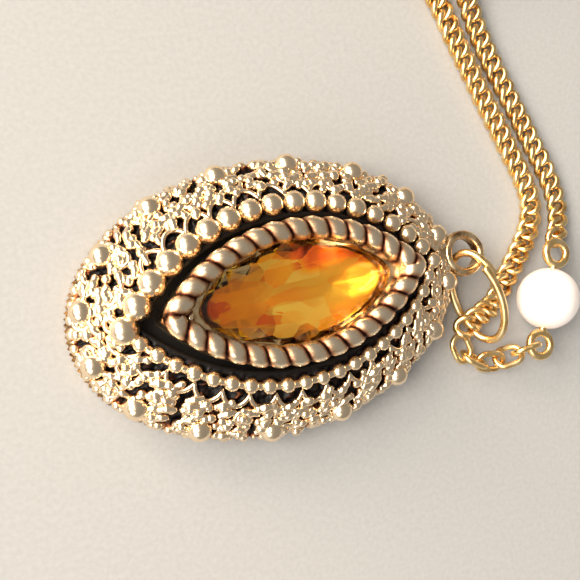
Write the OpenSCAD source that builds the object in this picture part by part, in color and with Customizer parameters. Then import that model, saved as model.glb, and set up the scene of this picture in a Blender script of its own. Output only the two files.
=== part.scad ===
// Pendant necklace: an oval domed pendant with an eye-shaped stone, hung by an
// oval jump ring on a fine curb chain that carries one pearl.
// The pendant lies on its flat back. Millimetres, +Z up, +X towards the bail.

/* [Pendant body] */
// Length of the oval body
body_l = 41.4; // [36:0.1:46]
// Width of the oval body
body_w = 27.4; // [25:0.1:30]
// Height of the dome above the girdle
dome_h = 7.0; // [6.6:0.1:7.4]
// Height of the girdle, where the dome is widest
girdle_z = 1.5; // [1.3:0.1:1.8]
// Thickness of the flat back plate
back_t = 0.5; // [0.4:0.1:0.6]

/* [Eye and stone] */
// How far the eye sits from the middle of the body towards the bail
eye_shift = 0.6; // [0:0.1:1]
// Length of the stone
stone_l = 20; // [18:0.1:20]
// Width of the stone
stone_w = 10; // [9:0.1:10]
// Length over the bezel wall
bezel_l = 27.2; // [26:0.1:27.6]
// Width over the bezel wall
bezel_w = 13.6; // [13.2:0.1:14]
// Height of the top of the bezel wall
bezel_top = 8.2; // [7.8:0.1:8.6]
// Diameter of the twisted rope on the bezel
rope_d = 2.0; // [1.6:0.1:2.2]

/* [Beads] */
// Length of the eye-shaped row of beads, tip bead to tip bead
row_l = 33.2; // [32.6:0.1:33.6]
// Width of that row
row_w = 17.3; // [17:0.1:17.6]
// Beads on each side of the row, between its tip beads
row_n = 15; // [13:1:16]
// Number of large beads round the rim
rim_n = 16; // [12:1:20]
// Diameter of a large rim bead
rim_bead_d = 2.4; // [2:0.1:2.6]
// Diameter of a small granule
granule_d = 1.1; // [0.8:0.1:1.2]

/* [Bail and jump ring] */
// Distance of the bail's hole from the middle of the body
bail_x = 22.1; // [21.9:0.1:22.4]
// Height of the middle of the bail
bail_z = 3.8; // [3.6:0.1:4]
// Diameter of the jump ring's wire
ring_wire = 0.85; // [0.7:0.05:0.9]
// Length of the oval jump ring, wire centre to wire centre
ring_l = 10.4; // [10:0.1:10.8]
// Width of the oval jump ring, wire centre to wire centre
ring_w = 5.6; // [5.4:0.1:6]

/* [Chain and pearl] */
// Width of the chain
chain_d = 2.8; // [2.6:0.1:2.8]
// Diameter of the pearl
pearl_d = 7; // [6.6:0.1:7.2]
// Diameter of the wire through the pearl
pin_wire = 0.9; // [0.7:0.1:1]
// Middle radius of the stored coil
coil_r = 13.4; // [13.4:0.1:14]
// Turns lying side by side in each layer of the coil
coil_turns = 3; // [2:1:3]

/* [Hidden] */
$fn = 48;

old_gold = "#c9a36a";
chain_gold = "#e3b860";
lacquer = "#1d1a1c";
amber = "#e08a1e";
nacre = "#f2ece4";

a = body_l / 2;
b = body_w / 2;
cover_t = 0.6;
back_inset = 0.7;
rim_inset = 1.5;
cover_inset = 0.3;
rim_h = 0.8;
channel_z = 5.4;
channel_inset = 2.2;
seat_z = 5.6;
stone_z = 7.9;
ledge = 0.6;
seat_drop = 0.3;
tip_power = 1.22;
outline_n = 96;
dome_rings = 10;
bail_gap = 8;

// Points of an oval with half axes p and q
function oval(p, q, n = outline_n) = [for (i = [0 : n - 1]) [p * cos(360 * i / n), q * sin(360 * i / n)]];

// An eye outline is two equal arcs that meet in two tips; l and w are its full size
function arc_r(l, w) = (l * l + w * w) / (4 * w);
function arc_half(l, w) = asin(l / 2 / arc_r(l, w));
function eye_point(l, w, t, side) =
    let (r = arc_r(l, w), u = arc_half(l, w) * (1 - 2 * t))
    [r * sin(u), side * (r * cos(u) + w / 2 - r)];
function eye(l, w, n) = concat(
    [for (i = [0 : n - 1]) eye_point(l, w, i / n, 1)],
    [for (i = [0 : n - 1]) eye_point(l, w, 1 - i / n, -1)]);

// The stone's outline: an eye whose tips are rounded off
function stone_outline(l, w, n, turn = 0) =
    [for (i = [0 : n - 1]) let (t = 360 * i / n + turn, c = cos(t), s = sin(t))
        [l / 2 * sign(c) * pow(abs(c), tip_power), w / 2 * sign(s) * pow(abs(s), tip_power)]];

// Height of the dome's skin over a point
function dome_z(x, y) = girdle_z + dome_h * sqrt(max(0, 1 - pow(x / a, 2) - pow(y / b, 2)));

// Solid dome on half axes p and q, from height low up to a rise of h over the girdle
module dome(p, q, h, low) {
    n = outline_n;
    m = dome_rings;
    rings = concat([[p, q, low]],
        [for (j = [0 : m - 1]) [p * cos(90 * j / m), q * cos(90 * j / m), girdle_z + h * sin(90 * j / m)]]);
    points = concat(
        [for (ring = rings) for (i = [0 : n - 1])
            [ring[0] * cos(360 * i / n), ring[1] * sin(360 * i / n), ring[2]]],
        [[0, 0, girdle_z + h]]);
    top = len(points) - 1;
    faces = concat(
        [[for (i = [0 : n - 1]) i]],
        [for (j = [0 : m - 1]) for (i = [0 : n - 1])
            [j * n + i, (j + 1) * n + i, (j + 1) * n + (i + 1) % n, j * n + (i + 1) % n]],
        [for (i = [0 : n - 1]) [m * n + i, top, m * n + (i + 1) % n]]);
    polyhedron(points, faces, convexity = 4);
}

function unit(v) = v / norm(v);

// Skin over rings of points, as a tube that is open or runs round into itself
module tube_from_rings(rings, closed) {
    k = len(rings[0]);
    m = len(rings);
    points = [for (ring = rings) for (p = ring) p];
    spans = closed ? m : m - 1;
    walls = [for (j = [0 : spans - 1]) for (i = [0 : k - 1])
        [j * k + i, j * k + (i + 1) % k, ((j + 1) % m) * k + (i + 1) % k, ((j + 1) % m) * k + i]];
    ends = closed ? [] : [[for (i = [k - 1 : -1 : 0]) i], [for (i = [0 : k - 1]) (m - 1) * k + i]];
    polyhedron(points, concat(walls, ends), convexity = 6);
}

// Ring of points round p, square to direction t; radii holds one radius for each side
function section(p, t, radii) =
    let (s = unit(cross(t, [0, 0, 1])), v = cross(s, t), k = len(radii))
    [for (i = [0 : k - 1]) p + radii[i] * (cos(360 * i / k) * s + sin(360 * i / k) * v)];

function heading(path, j, closed = false) =
    let (m = len(path),
        p0 = closed ? path[(j + m - 1) % m] : path[max(0, j - 1)],
        p1 = closed ? path[(j + 1) % m] : path[min(m - 1, j + 1)])
    unit(p1 - p0);

module cord_tube(path) {
    sides = 8;
    radii = [for (i = [1 : sides]) chain_d / 2];
    tube_from_rings([for (j = [0 : len(path) - 1]) section(path[j], heading(path, j), radii)], false);
}

// ---- back, rim and dome ----

module back_plate() {
    color(old_gold) linear_extrude(back_t) polygon(oval(a - back_inset, b - back_inset));
}

// The milled edge: an oval band with fine upright ribs
module rim_wire() {
    ribs = 150;
    depth = 0.25;
    outer = [for (i = [0 : 2 * ribs - 1])
        let (t = 180 * i / ribs, g = (i % 2) * depth) [(a - g) * cos(t), (b - g) * sin(t)]];
    color(old_gold) translate([0, 0, back_t]) linear_extrude(rim_h) difference() {
        polygon(outer);
        polygon(oval(a - rim_inset, b - rim_inset));
    }
}

// Black lacquered core, with the sunk eye-shaped channel that frames the setting
module base_dome() {
    color(lacquer) difference() {
        dome(a - rim_inset - 0.05, b - rim_inset - 0.05, dome_h - cover_t - 0.1, back_t);
        translate([eye_shift, 0, channel_z])
            linear_extrude(dome_h) polygon(eye(row_l - channel_inset, row_w - channel_inset, 24));
    }
}

// Cast gold skin over the core, open over the eye
module filigree_cover() {
    color(old_gold) difference() {
        dome(a - cover_inset, b - cover_inset, dome_h, back_t + rim_h);
        dome(a - rim_inset, b - rim_inset, dome_h - cover_t, back_t + rim_h - 0.1);
        translate([eye_shift, 0, 0])
            linear_extrude(3 * dome_h) polygon(eye(row_l - channel_inset, row_w - channel_inset, 24));
    }
}

// ---- beads ----

// True where a point lies clear outside the eye-shaped row
function outside_row(x, y, gap) =
    let (l = row_l + 2 * gap, w = row_w + 2 * gap, r = arc_r(l, w))
    norm([x - eye_shift, abs(y) + r - w / 2]) > r;

// One ring of granules at a share k of the body's half axes
module granule_ring(k, pitch, phase, d) {
    n = round(PI * (3 * (a + b) - sqrt((3 * a + b) * (a + 3 * b))) * k / pitch);
    for (i = [0 : n - 1]) {
        t = 360 * (i + phase) / n;
        x = a * k * cos(t);
        y = b * k * sin(t);
        if (outside_row(x, y, 1.6) && min(t, 360 - t) > bail_gap)
            translate([x, y, dome_z(x, y)]) sphere(d = d, $fn = 16);
    }
}

module granules_outer() {
    color(old_gold) {
        granule_ring(0.975, 1.7, 0, granule_d);
        granule_ring(0.865, 1.6, 0.5, granule_d);
    }
}

module granules_inner() {
    color(old_gold) {
        granule_ring(0.79, 1.7, 0, granule_d);
        granule_ring(0.71, 1.7, 0.5, granule_d);
    }
}

module rim_beads() {
    share = 0.94;
    lift = 0.4;
    color(old_gold) for (i = [0 : rim_n - 1]) {
        t = 360 * (i + 0.5) / rim_n;
        x = a * share * cos(t);
        y = b * share * sin(t);
        translate([x, y, dome_z(x, y) + lift]) sphere(d = rim_bead_d, $fn = 24);
    }
}

row_bead_small = 1.85;
row_bead_large = 2.6;
row_lift = 0.35;
row_growth = 0.14;

// The row's beads grow towards the tip end; t runs from the bail to the tip
function row_t(i) = let (s = i / (row_n + 1)) s + row_growth * s * (s - 1);
function row_d(i) = row_bead_small + (row_bead_large - row_bead_small) * i / (row_n + 1);
function row_point(i, side) =
    let (p = eye_point(row_l, row_w, row_t(i), side), x = p[0] + eye_shift)
    [x, p[1], dome_z(x, p[1]) + row_lift];

module eye_beads() {
    color(old_gold) {
        for (i = [0 : row_n + 1]) translate(row_point(i, 1)) sphere(d = row_d(i), $fn = 24);
        for (i = [1 : row_n]) translate(row_point(i, -1)) sphere(d = row_d(i), $fn = 24);
    }
}

// A small wire loop hangs below each bead on the outer side of the row
module scallop_wire() {
    loop_r = 0.75;
    wire_r = 0.22;
    drop = 1.15;
    lift = 0.15;
    tilt = 42;
    color(old_gold) for (side = [-1, 1]) for (i = [1 : row_n]) {
        p = row_point(i, side);
        out = unit([p[0] - eye_shift, p[1] * pow(row_l / row_w, 2), 0]);
        q = p + drop * out;
        translate([q[0], q[1], dome_z(q[0], q[1]) + lift]) rotate([0, 0, atan2(out[1], out[0])])
            rotate([0, tilt, 0]) rotate_extrude($fn = 24) translate([loop_r, 0]) circle(wire_r, $fn = 16);
    }
}

// ---- setting ----

// Eye-shaped cup; the stone's girdle stands on the ledge inside its wall
module bezel_cup() {
    color(old_gold) translate([eye_shift, 0, 0]) difference() {
        translate([0, 0, channel_z]) linear_extrude(bezel_top - channel_z)
            polygon(eye(bezel_l, bezel_w, 24));
        translate([0, 0, stone_z - seat_drop]) linear_extrude(dome_h)
            polygon(stone_outline(stone_l + 0.1, stone_w + 0.1, 48));
        translate([0, 0, seat_z]) linear_extrude(dome_h)
            polygon(stone_outline(stone_l - 2 * ledge, stone_w - 2 * ledge, 48));
    }
}

// Two wires twisted into a rope that lies on the bezel's edge
module bezel_rope() {
    n = 56;
    turns = 29;
    sides = 10;
    sink = 0.25;
    groove = 0.26;
    mid_l = bezel_l - rope_d;
    mid_w = stone_w + rope_d;
    flat = eye(mid_l, mid_w, n);
    path = [for (p = flat) [p[0] + eye_shift, p[1], bezel_top + rope_d / 2 - sink]];
    rings = [for (j = [0 : 2 * n - 1])
        section(path[j], heading(path, j, true),
            [for (i = [0 : sides - 1])
                rope_d / 2 * (1 - groove + groove * abs(cos(360 * i / sides - 180 * turns * j / n)))])];
    color(old_gold) tube_from_rings(rings, true);
}

// Levels of the boat-shaped stone: height, share of the girdle's size, corners and turn
stone_levels = [[1.6, 0.58, 8, 0], [0.9, 0.86, 12, 15], [0, 1, 24, 0], [-0.9, 0.6, 12, 0]];
level_t = 0.1;
keel_z = -1.7;
keel_share = 0.4;

// A flat table, a ring of crown facets and a keel below
module stone_body(grow) {
    l = stone_l + 2 * grow;
    w = stone_w + 2 * grow;
    hull() {
        for (v = stone_levels) translate([0, 0, v[0]]) linear_extrude(level_t)
            polygon(stone_outline(l * v[1], w * v[1], v[2], v[3]));
        translate([-l * keel_share / 2, -level_t / 2, keel_z])
            cube([l * keel_share, level_t, level_t]);
    }
}

module stone() {
    color(amber) translate([eye_shift, 0, stone_z]) stone_body(0);
}

// Bright metal foil liner that hugs the stone's pavilion
module foil_cup() {
    inset = 0.3;
    drop = 0.15;
    gap = 0.02;
    rim = -0.4;
    color("#f0c050") translate([eye_shift, 0, stone_z]) difference() {
        translate([0, 0, -drop]) stone_body(-inset);
        stone_body(gap);
        translate([-stone_l, -stone_w, rim]) cube([2 * stone_l, 2 * stone_w, dome_h]);
    }
}

// ---- bail and jump ring ----

// Cast ring with two rounded ridges and a groove between them, on a short shank
module bail_ring() {
    ridge_r = 0.45;
    ridge_at = 2.05;
    ridge_up = 0.4;
    shank = [1.7, 2.2, 1.4];
    shank_at = 3.4;
    color(old_gold) difference() {
        union() {
            translate([bail_x, 0, bail_z]) rotate_extrude() {
                for (s = [-1, 1]) translate([ridge_at, s * ridge_up]) circle(ridge_r, $fn = 24);
                translate([ridge_at - ridge_r, -ridge_up]) square([1.75 * ridge_r, 2 * ridge_up]);
            }
            translate([bail_x - shank_at, -shank[1] / 2, bail_z - shank[2] / 2]) cube(shank);
        }
        dome(a - cover_inset, b - cover_inset, dome_h, back_t + rim_h);
    }
}

// The jump ring hangs from the middle of the bail's hole and leans on the table
ring_turn = -78;
ring_dip = 6;
ring_lean = 60;
bail_mid = [bail_x, 0, bail_z];

// Its two ends lie side by side where the wire was closed
split_at = 112;
split_lap = 16;
split_side = 0.5;

module oval_ring() {
    steps = 72;
    sides = 14;
    path = [for (j = [0 : steps]) let (s = j / steps, t = split_at + (360 + split_lap) * s)
        [ring_l / 2 * cos(t), ring_w / 2 * sin(t), split_side * pow(2 * s - 1, 3)]];
    radii = [for (i = [1 : sides]) ring_wire / 2];
    tube_from_rings([for (j = [0 : steps]) section(path[j], heading(path, j), radii)], false);
}

module jump_ring() {
    color(chain_gold) translate(bail_mid) rotate([0, 0, ring_turn]) rotate([0, ring_dip, 0])
        rotate([ring_lean, 0, 0]) translate([ring_l / 2, 0, 0]) oval_ring();
}

// ---- pearl and its links ----

pearl_at = [32.2, -7.2, pearl_d / 2];
pearl_turn = 63;
eye_r = 1.35;
pin_fit = 0.05;

module pearl() {
    bore_r = pin_wire / 2 + pin_fit;
    color(nacre) translate(pearl_at) rotate([0, 0, pearl_turn]) rotate([0, 90, 0])
        rotate_extrude($fn = 96) intersection() {
            circle(d = pearl_d, $fn = 96);
            translate([bore_r, -pearl_d]) square([pearl_d, 2 * pearl_d]);
        }
}

// Straight wire with a closed eye turned at each end
module pearl_pin() {
    reach = pearl_d / 2 + pin_wire / 2 + 0.1;
    color(chain_gold) translate(pearl_at) rotate([0, 0, pearl_turn]) {
        rotate([0, 90, 0]) cylinder(h = 2 * reach, d = pin_wire, center = true);
        for (s = [-1, 1]) translate([s * (reach + eye_r), 0, 0])
            rotate_extrude() translate([eye_r, 0]) circle(d = pin_wire, $fn = 24);
    }
}

link_l = 3.7;
link_w = 2.7;
link_wire = 0.65;

// Arc of round wire about +Z
module wire_arc(r, from, to, wire) {
    rotate([0, 0, from]) rotate_extrude(angle = to - from, $fn = 96)
        translate([r, 0]) circle(d = wire, $fn = 24);
}

// One open oval link, its length along +X
module link() {
    bend_r = (link_w - link_wire) / 2;
    half = (link_l - link_w) / 2;
    for (s = [-1, 1]) {
        translate([s * half, 0, 0]) wire_arc(bend_r, 90 - 90 * s - 90, 90 - 90 * s + 90, link_wire);
        translate([0, s * bend_r, 0]) rotate([0, 90, 0])
            cylinder(h = 2 * half, d = link_wire, center = true, $fn = 24);
    }
}

// Where the chain crosses the jump ring, the middle of each open link after it, and the
// rim of the pearl's lower eye
passage = [20.9, -8.0, 2.2];
link_at = [[20.7, -10.3, 1.8], [22.1, -11.9, 1.5], [24.05, -12.6, 1.6], [26.1, -12.5, 2.3],
    [27.95, -12.1, 3.25]];
link_roll = [0, -60, 30, -30, 75];
eye_rim = [29.7, -11.9, 3.85];

module open_link(i) {
    before = i == 0 ? passage : link_at[i - 1];
    after = i == 4 ? eye_rim : link_at[i + 1];
    d = after - before;
    color(chain_gold) translate(link_at[i])
        rotate([0, -atan2(d[2], norm([d[0], d[1]])), atan2(d[1], d[0])])
            rotate([link_roll[i], 0, 0]) link();
}

module link_1() open_link(0);
module link_2() open_link(1);
module link_3() open_link(2);
module link_4() open_link(3);
module link_5() open_link(4);

// ---- chain ----

// Route of each strand as it lies on the table; the rest is wound in the coil
coil_at = [30.5, 50.3];
route_a = [[20.9, -8.3, 2.9], [22.6, -7.6, 3.0], [24.5, -7.0, 2.6], [26.5, -6.3, 1.8],
    [28.1, -4.8, 1.4], [30.1, -2.8, 1.4], [32.4, -0.4, 1.4], [34.0, 2.0, 1.4],
    [34.6, 4.5, 1.4], [34.2, 7.3, 1.4], [33.2, 10.7, 1.4], [32.2, 14.1, 1.4],
    [31.1, 17.7, 1.4], [30.1, 21.3, 1.4], [29.1, 25.0, 1.4], [28.2, 28.6, 1.4],
    [26.7, 32.2, 1.4], [23.7, 35.6, 1.4], [19.0, 38.8, 1.4], [15.8, 43.5, 1.4]];
route_b = [[35.9, -1.2, 3.0], [37.3, 0.2, 1.9], [38.2, 2.4, 1.4], [38.2, 4.8, 1.4],
    [37.6, 7.9, 1.4], [36.6, 11.1, 1.4], [35.6, 14.5, 1.4], [34.5, 18.0, 1.4],
    [33.4, 21.6, 1.4], [32.5, 25.0, 1.6], [31.8, 28.0, 2.2], [31.0, 30.7, 3.3],
    [28.9, 33.4, 4.3], [25.0, 35.1, 4.3]];

module chain_a() {
    color(chain_gold) cord_tube(route_a);
}

module chain_b() {
    color(chain_gold) cord_tube(route_b);
}

// One flat layer of turns
module coil_layer(low) {
    wide = coil_turns * chain_d;
    color(chain_gold) translate([coil_at[0], coil_at[1], low]) rotate_extrude($fn = 96)
        translate([coil_r - wide / 2, 0]) square([wide, chain_d]);
}

module coil_a() coil_layer(0);
module coil_b() coil_layer(chain_d);

// ---- clasp, lying in the middle of the coil ----

clasp_z = 1.65;
hook_at = [2.4, 0];
hook_r = 1.95;
hook_wire = 1.3;
hook_from = -90;
hook_to = 60;
pivot = [-1.9, 0.8];
rivet_d = 0.6;
body_at = -2.1;
body_r = 2;
body_h = 1.9;
slot_h = 1.24;
eye_at = -4.9;
eye_mid_r = 1.15;
eye_wire = 0.8;

module on_clasp() {
    translate([coil_at[0], coil_at[1], clasp_z]) children();
}

// Upright bore or pin about the lever's pivot
module at_pivot() {
    translate([pivot[0], pivot[1], 0]) children();
}

// Round rod from one point of the clasp's middle plane to another
module rod(from, to, d) {
    run = to - from;
    translate([from[0], from[1], 0]) rotate([0, 0, atan2(run[1], run[0])]) rotate([0, 90, 0])
        cylinder(d = d, h = norm(run));
}

module clasp_body() {
    color(chain_gold) on_clasp() difference() {
        union() {
            translate([eye_at, 0, 0]) rotate_extrude()
                translate([eye_mid_r, 0]) circle(d = eye_wire, $fn = 24);
            translate([body_at, 0, -body_h / 2]) cylinder(r = body_r, h = body_h);
            rod([body_at + 0.5, -hook_r], [hook_at[0], -hook_r], hook_wire);
            translate(hook_at) wire_arc(hook_r, hook_from, hook_to, hook_wire);
            translate(hook_at) rotate([0, 0, hook_to]) translate([hook_r, 0, 0]) sphere(d = hook_wire + 0.15);
        }
        translate([pivot[0] - 1.1, pivot[1] - 1.2, -slot_h / 2]) cube([2 * body_r, 2 * body_r, slot_h]);
        at_pivot() cylinder(d = rivet_d, h = 2 * body_h, center = true, $fn = 32);
    }
}

// Sprung gate with a thumb tab; its barrel turns on the rivet
module clasp_lever() {
    arm_d = 0.7;
    barrel_r = 0.75;
    barrel_h = 0.84;
    gate_tip = [1.95, 1.8];
    tab_from = [-0.5, 1.2];
    tab_tip = [-0.89, 2.65];
    color(chain_gold) on_clasp() difference() {
        union() {
            at_pivot() cylinder(r = barrel_r, h = barrel_h, center = true);
            rod(pivot, gate_tip, arm_d);
            translate([gate_tip[0], gate_tip[1], 0]) sphere(d = arm_d + 0.2);
            rod(tab_from, tab_tip, arm_d - 0.1);
            translate([tab_tip[0], tab_tip[1], 0]) sphere(d = arm_d + 0.1);
        }
        at_pivot() cylinder(d = rivet_d + 0.08, h = 2 * body_h, center = true, $fn = 32);
    }
}

module clasp_rivet() {
    shank_h = 2;
    head_h = 0.12;
    head_d = 0.9;
    color(chain_gold) on_clasp() at_pivot() {
        cylinder(d = rivet_d, h = shank_h, center = true, $fn = 32);
        for (s = [-1, 1]) translate([0, 0, s * (shank_h / 2 + head_h / 12)])
            cylinder(d = head_d, h = head_h, center = true, $fn = 32);
    }
}

// Two small torsion coils, one on each side of the lever's barrel
module clasp_spring() {
    spring_z = 0.53;
    spring_r = 0.45;
    spring_wire = 0.16;
    color("silver") on_clasp() at_pivot() for (s = [-1, 1])
        translate([0, 0, s * spring_z]) rotate_extrude($fn = 32)
            translate([spring_r, 0]) circle(d = spring_wire, $fn = 16);
}

// Ring that leans over on the table, at a place along the coil's middle line
module small_ring(x, z, r, wire, lean) {
    color(chain_gold) translate([coil_at[0] + x, coil_at[1], z]) rotate([lean, 0, 0])
        rotate_extrude() translate([r, 0]) circle(d = wire, $fn = 24);
}

module clasp_ring() small_ring(x = -6.6, z = 1.68, r = 1.5, wire = 0.6, lean = 65);
module end_ring() small_ring(x = 4.95, z = 2.2, r = 1.9, wire = 0.7, lean = 70);

back_plate();
rim_wire();
base_dome();
filigree_cover();
granules_outer();
granules_inner();
rim_beads();
scallop_wire();
eye_beads();
bezel_cup();
bezel_rope();
foil_cup();
stone();
bail_ring();
jump_ring();
link_1();
link_2();
link_3();
link_4();
link_5();
pearl();
pearl_pin();
chain_a();
chain_b();
coil_a();
coil_b();
clasp_body();
clasp_lever();
clasp_rivet();
clasp_spring();
clasp_ring();
end_ring();
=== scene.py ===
import math
import random

import bmesh
import bpy
import numpy as np
from mathutils import Matrix, Vector, noise


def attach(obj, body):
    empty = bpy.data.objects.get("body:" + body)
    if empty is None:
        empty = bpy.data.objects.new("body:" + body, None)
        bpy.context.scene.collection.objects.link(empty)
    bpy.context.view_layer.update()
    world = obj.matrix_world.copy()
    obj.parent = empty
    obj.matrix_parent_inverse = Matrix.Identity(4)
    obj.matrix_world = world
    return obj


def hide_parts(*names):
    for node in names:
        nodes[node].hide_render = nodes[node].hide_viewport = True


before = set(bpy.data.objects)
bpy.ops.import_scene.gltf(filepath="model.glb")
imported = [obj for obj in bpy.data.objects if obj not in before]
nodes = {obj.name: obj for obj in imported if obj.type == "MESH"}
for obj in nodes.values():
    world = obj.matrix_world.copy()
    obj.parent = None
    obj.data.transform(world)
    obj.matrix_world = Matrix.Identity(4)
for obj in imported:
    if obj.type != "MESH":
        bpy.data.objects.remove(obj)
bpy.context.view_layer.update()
mm = 0.001
dice = random.Random(7)
print("frame loaded:", len(nodes), "nodes")


view = {
    "eye": (-28.94, 0.77, 82.38),  # mm
    "aim": (2.96, 0.25, 0.0),
    "up": (0.2066, 0.9756, 0.0738),
    "lens": 52.02,
}


def placeCamera():
    data = bpy.data.cameras.new("camera")
    data.sensor_width = 36
    data.lens = view["lens"]
    data.clip_start, data.clip_end = 0.002, 5
    camera = bpy.data.objects.new("camera", data)
    bpy.context.scene.collection.objects.link(camera)
    eye, aim = Vector(view["eye"]), Vector(view["aim"])
    ahead = (aim - eye).normalized()
    right = ahead.cross(Vector(view["up"])).normalized()
    up = right.cross(ahead)
    camera.matrix_world = Matrix((
        (right.x, up.x, -ahead.x, eye.x * mm),
        (right.y, up.y, -ahead.y, eye.y * mm),
        (right.z, up.z, -ahead.z, eye.z * mm),
        (0, 0, 0, 1),
    ))
    bpy.context.scene.camera = camera


placeCamera()


def hexColour(code):
    # sRGB hex to the linear values that the shader takes
    channels = [int(code[i:i + 2], 16) / 255 for i in (1, 3, 5)]
    linear = [c / 12.92 if c <= 0.04045 else ((c + 0.055) / 1.055) ** 2.4 for c in channels]
    return (*linear, 1.0)


def addNode(material, kind, settings=None, links=None):
    node = material.node_tree.nodes.new(kind)
    for name, value in (settings or {}).items():
        if name == "stops":
            elements = node.color_ramp.elements
            while len(elements) < len(value):
                elements.new(0.5)
            for element, (place, code) in zip(elements, value):
                element.position = place
                element.color = hexColour(code)
        elif isinstance(name, str) and hasattr(node, name):
            setattr(node, name, value)
        else:
            node.inputs[name].default_value = value
    for name, source in (links or {}).items():
        socket = source.outputs[0] if hasattr(source, "outputs") else source
        material.node_tree.links.new(socket, node.inputs[name])
    return node


def newMaterial(name):
    material = bpy.data.materials.new(name)
    material.use_nodes = True
    return material, material.node_tree.nodes["Principled BSDF"]


def link(material, source, socket):
    material.node_tree.links.new(source.outputs[0] if hasattr(source, "outputs") else source, socket)


def perMm(size):
    # texture scale that makes features of that size in millimetres
    return 1 / (size * mm)


body = {
    "halfLength": 20.7,
    "halfWidth": 13.7,
    "girdle": 1.5,
    "rise": 7.0,
    "eyeShift": 0.6,
    "rowLength": 33.2,
    "rowWidth": 17.3,
    "channelInset": 2.2,
    "rimTop": 1.3,
}


def domeHeight(x, y):
    share = 1 - (x / body["halfLength"]) ** 2 - (y / body["halfWidth"]) ** 2
    return body["girdle"] + body["rise"] * math.sqrt(max(0.0, share))


def domeNormal(x, y):
    z = domeHeight(x, y) - body["girdle"]
    slope = (x / body["halfLength"] ** 2, y / body["halfWidth"] ** 2, max(z, 0.02) / body["rise"] ** 2)
    return Vector(slope).normalized()


def arcRadius(length, width):
    return (length ** 2 + width ** 2) / (4 * width)


def outsideRow(x, y, gap):
    length, width = body["rowLength"] + 2 * gap, body["rowWidth"] + 2 * gap
    radius = arcRadius(length, width)
    return math.hypot(x - body["eyeShift"], abs(y) + radius - width / 2) > radius


def skinDistance(material):
    # how far the surface stands above the dome's skin, in millimetres
    coords = addNode(material, "ShaderNodeTexCoord").outputs["Object"]
    axes = (body["halfLength"] * mm, body["halfWidth"] * mm, body["rise"] * mm)
    centred = addNode(material, "ShaderNodeVectorMath",
                      {"operation": "SUBTRACT", 1: (0, 0, body["girdle"] * mm)}, {0: coords})
    scaled = addNode(material, "ShaderNodeVectorMath", {"operation": "DIVIDE", 1: axes}, {0: centred})
    level = addNode(material, "ShaderNodeVectorMath", {"operation": "DOT_PRODUCT"}, {0: scaled, 1: scaled})
    slope = addNode(material, "ShaderNodeVectorMath", {"operation": "DIVIDE", 1: axes}, {0: scaled})
    steep = addNode(material, "ShaderNodeVectorMath", {"operation": "LENGTH"}, {0: slope})
    excess = addNode(material, "ShaderNodeMath", {"operation": "SUBTRACT", 1: 1.0},
                     {0: level.outputs["Value"]})
    away = addNode(material, "ShaderNodeMath", {"operation": "DIVIDE"},
                   {0: excess, 1: steep.outputs["Value"]})
    return addNode(material, "ShaderNodeMath", {"operation": "MULTIPLY", 1: 0.5 / mm}, {0: away})


def antiquedGoldPlate(name="antiquedGoldPlate", darkAt=-0.3, brightAt=0.3, shine=0.25):
    # gold-plated zinc casting, dipped black and wiped: tops shine pale gold, hollows stay black
    material, shader = newMaterial(name)
    coords = addNode(material, "ShaderNodeTexCoord").outputs["Object"]
    grime = addNode(material, "ShaderNodeTexNoise",
                    {"Scale": perMm(1.2), "Detail": 2.0, "Roughness": 0.5}, {"Vector": coords})
    distance = skinDistance(material)
    ragged = addNode(material, "ShaderNodeMath", {"operation": "MULTIPLY_ADD", 1: 0.5, 2: -0.25}, {0: grime})
    height = addNode(material, "ShaderNodeMath", {"operation": "ADD"}, {0: distance, 1: ragged})
    wiped = addNode(material, "ShaderNodeMapRange",
                    {"From Min": darkAt, "From Max": brightAt}, {"Value": height})
    colour = addNode(material, "ShaderNodeValToRGB",
                     {"stops": [(0.0, "#070404"), (0.3, "#2c160e"), (0.52, "#9c6040"),
                                (0.76, "#ecc79c"), (1.0, "#ffe7c4")]}, {"Fac": wiped})
    rough = addNode(material, "ShaderNodeMapRange", {"To Min": 0.55, "To Max": shine}, {"Value": wiped})
    plated = addNode(material, "ShaderNodeMapRange",
                     {"From Max": 0.35, "To Min": 0.35, "To Max": 1.0}, {"Value": wiped})
    pits = addNode(material, "ShaderNodeTexNoise",
                   {"Scale": perMm(0.22), "Detail": 3.0}, {"Vector": coords})
    bump = addNode(material, "ShaderNodeBump", {"Strength": 0.2, "Distance": 0.05 * mm}, {"Height": pits})
    link(material, colour, shader.inputs["Base Color"])
    link(material, rough, shader.inputs["Roughness"])
    link(material, plated, shader.inputs["Metallic"])
    link(material, bump, shader.inputs["Normal"])
    return material


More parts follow.
